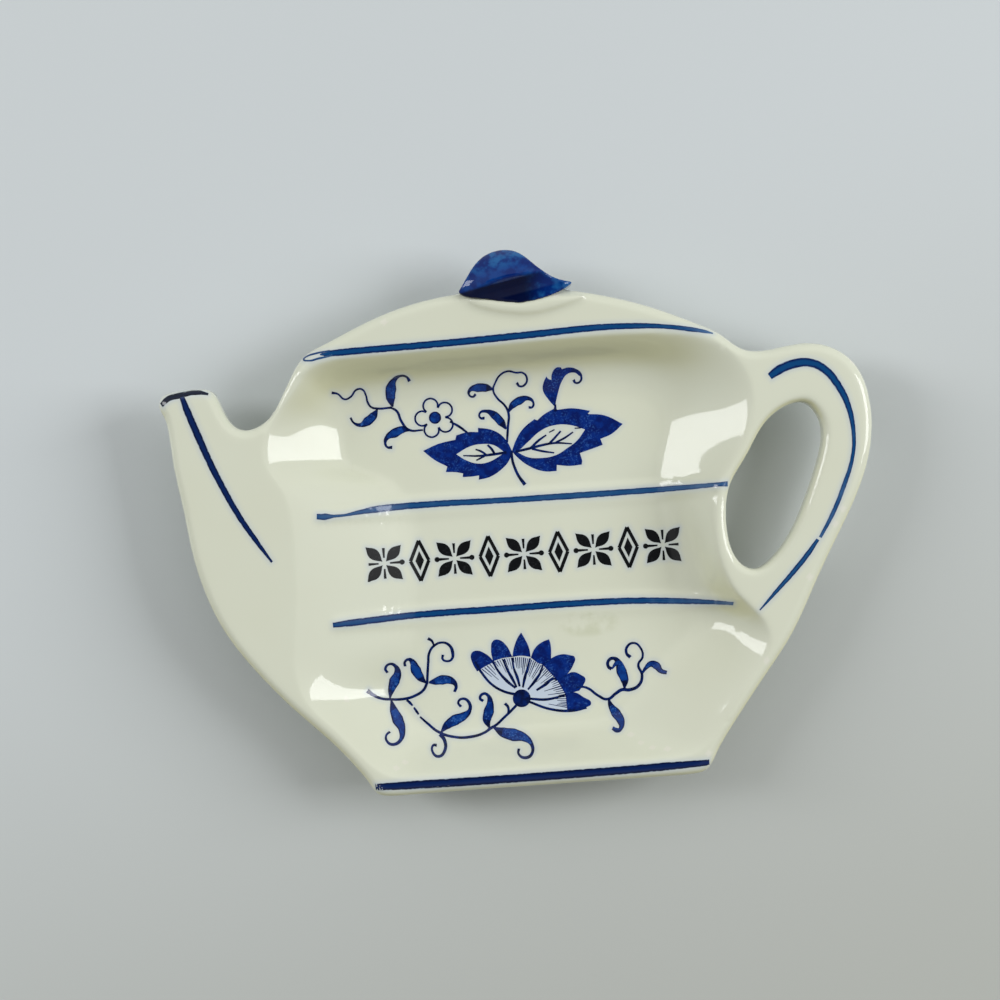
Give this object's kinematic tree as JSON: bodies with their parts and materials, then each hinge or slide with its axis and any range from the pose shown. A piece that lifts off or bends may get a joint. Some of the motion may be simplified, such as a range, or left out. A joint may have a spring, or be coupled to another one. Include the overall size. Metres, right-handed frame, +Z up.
{
  "type": "tea bag rest",
  "caption": "Shallow glazed ceramic dish in a teapot outline, with a sunk well for used tea bags, a spout, an open handle loop and a blue knob.",
  "frame": {"origin": "on the table under the middle of the plan outline", "axes": "+X along the painted bands towards the handle, +Y towards the knob, +Z up out of the well"},
  "size_m": [0.1142, 0.0865, 0.0148],
  "materials": {
    "ivory_glaze": "clear gloss glaze over an ivory clay body",
    "cobalt_glaze": "gloss cobalt blue glaze, paler where it runs thin over edges",
    "blue_paint": "brushed cobalt lines under the clear glaze",
    "blue_print": "printed cobalt floral sprays under the clear glaze",
    "black_print": "printed black ornament under the clear glaze",
    "bare_clay": "matt fired clay, wiped free of glaze"
  },
  "bodies": {
    "root": {"bowl": "ivory_glaze", "lid": "ivory_glaze", "knob": "cobalt_glaze", "knob_collar": "ivory_glaze", "spout": "ivory_glaze", "handle": "ivory_glaze", "foot_ring": "bare_clay", "shoulder_rib": "ivory_glaze", "waist_rib": "ivory_glaze", "lid_band": "blue_paint", "shoulder_band": "blue_paint", "waist_band": "blue_paint", "base_band": "blue_paint", "spout_line": "blue_paint", "spout_lip_line": "blue_paint", "handle_line": "blue_paint", "handle_tail_line": "blue_paint", "upper_spray": "blue_print", "lower_spray": "blue_print", "centre_border": "black_print"}
  },
  "joints": []
}
